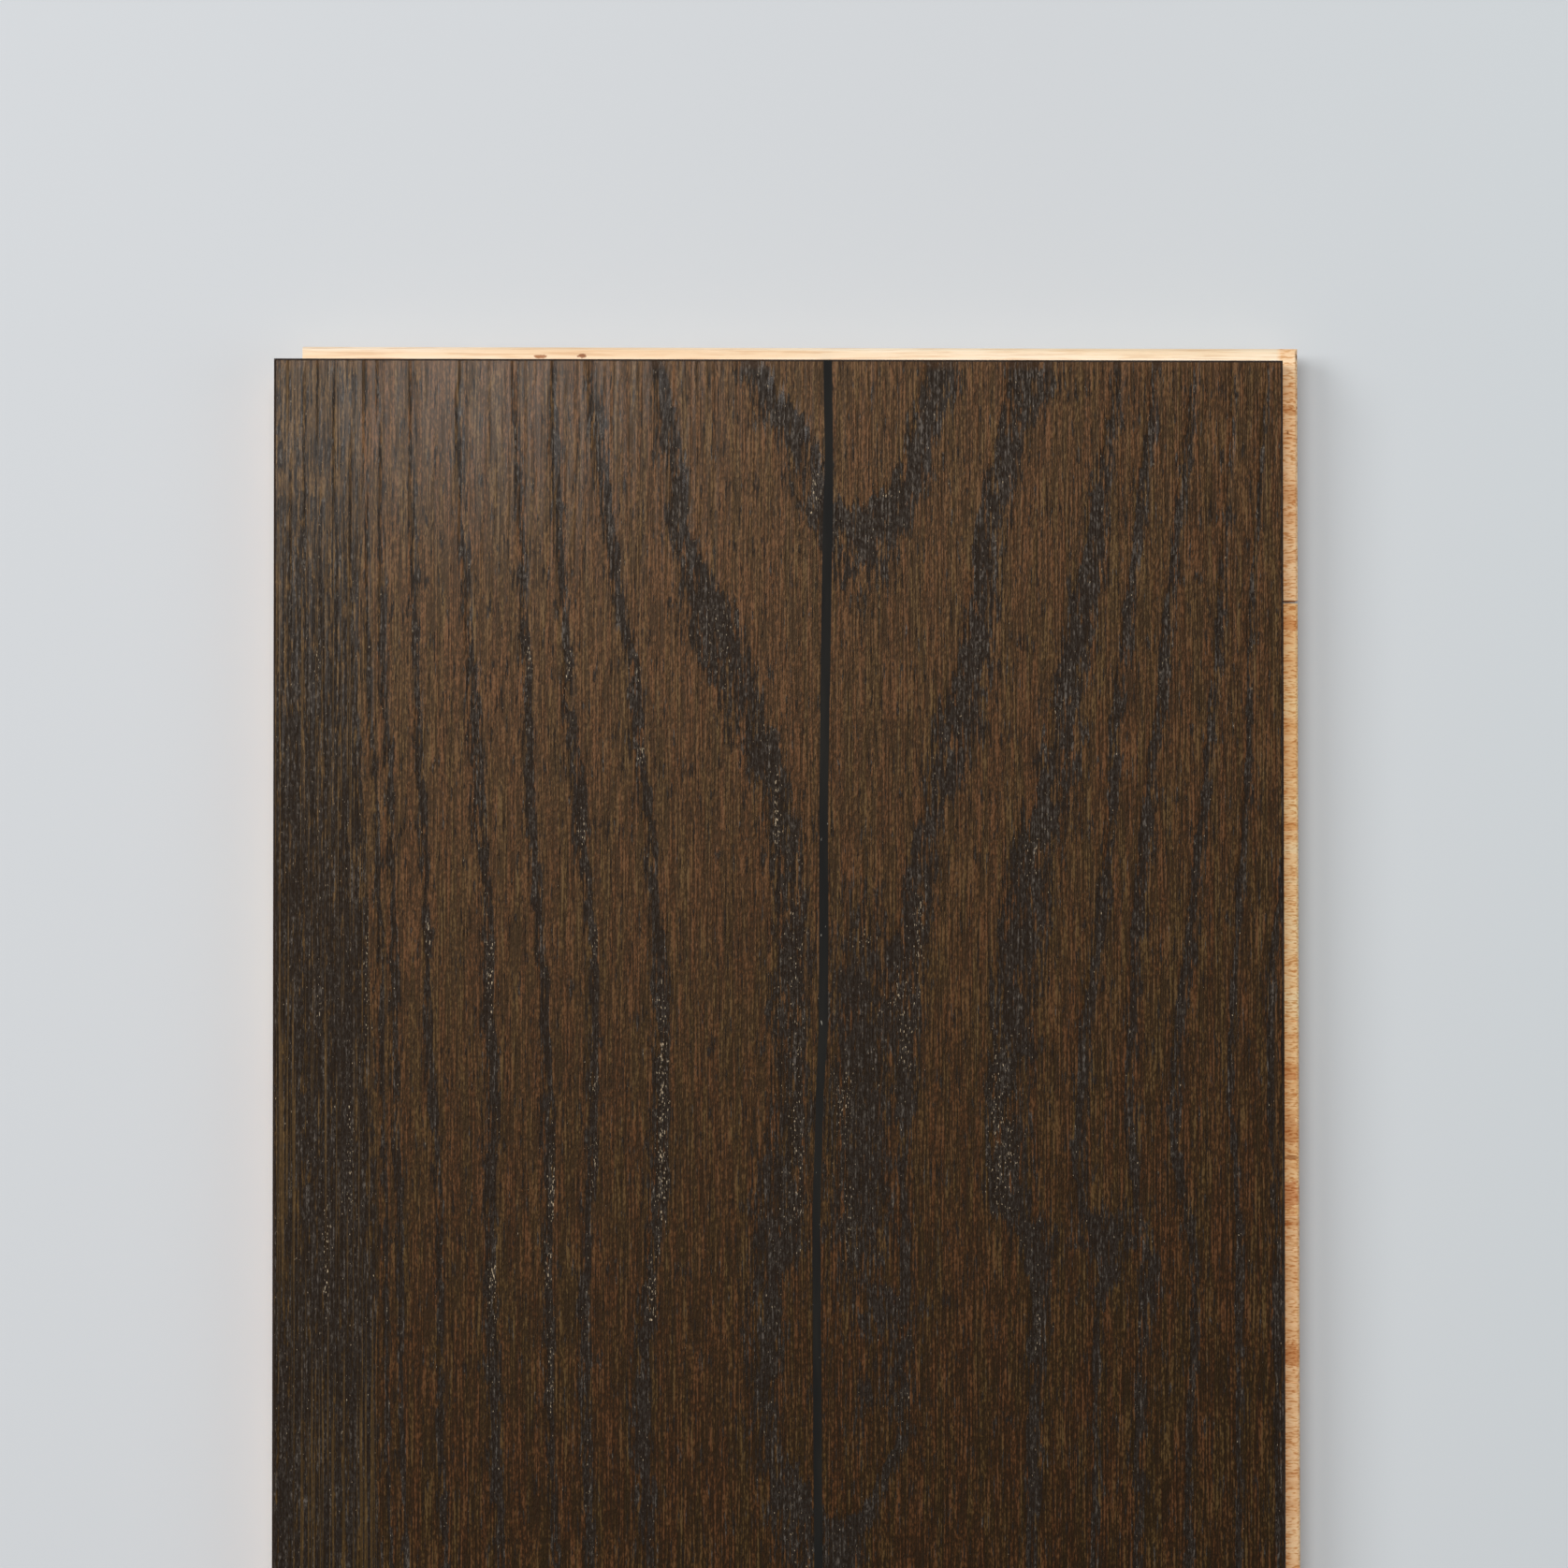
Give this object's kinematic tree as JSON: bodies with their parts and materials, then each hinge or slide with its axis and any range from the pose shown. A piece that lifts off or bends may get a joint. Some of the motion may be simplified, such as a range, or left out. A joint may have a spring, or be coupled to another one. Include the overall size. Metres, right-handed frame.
{
  "type": "engineered oak floorboard",
  "caption": "Three-layer engineered floorboard with a dark stained oak face, crosswise softwood core, backing veneer, and a tongue and groove on the sides and ends.",
  "frame": {"origin": "centre of the underside of the board's body, without its tongues", "axes": "+Z out of the walking face, +Y along the board towards the end tongue, +X across the board towards the side tongue"},
  "size_m": [0.1937, 1.903, 0.015],
  "materials": {
    "stained_oak": "matt",
    "crack_filler": "smooth",
    "core_softwood": "milled bare",
    "backing_veneer": "sanded bare"
  },
  "bodies": {
    "root": {"backing_veneer": "backing_veneer", "core_strip_01": "core_softwood", "core_strip_02": "core_softwood", "core_strip_03": "core_softwood", "core_strip_04": "core_softwood", "core_strip_05": "core_softwood", "core_strip_06": "core_softwood", "core_strip_07": "core_softwood", "core_strip_08": "core_softwood", "core_strip_09": "core_softwood", "core_strip_10": "core_softwood", "core_strip_11": "core_softwood", "core_strip_12": "core_softwood", "core_strip_13": "core_softwood", "core_strip_14": "core_softwood", "core_strip_15": "core_softwood", "core_strip_16": "core_softwood", "core_strip_17": "core_softwood", "core_strip_18": "core_softwood", "core_strip_19": "core_softwood", "core_strip_20": "core_softwood", "core_strip_21": "core_softwood", "core_strip_22": "core_softwood", "core_strip_23": "core_softwood", "core_strip_24": "core_softwood", "core_strip_25": "core_softwood", "core_strip_26": "core_softwood", "core_strip_27": "core_softwood", "core_strip_28": "core_softwood", "core_strip_29": "core_softwood", "core_strip_30": "core_softwood", "core_strip_31": "core_softwood", "core_strip_32": "core_softwood", "core_strip_33": "core_softwood", "core_strip_34": "core_softwood", "core_strip_35": "core_softwood", "core_strip_36": "core_softwood", "core_strip_37": "core_softwood", "core_strip_38": "core_softwood", "core_strip_39": "core_softwood", "core_strip_40": "core_softwood", "core_strip_41": "core_softwood", "core_strip_42": "core_softwood", "core_strip_43": "core_softwood", "core_strip_44": "core_softwood", "core_strip_45": "core_softwood", "crack_filler": "crack_filler", "face_lamella": "stained_oak"}
  },
  "joints": []
}
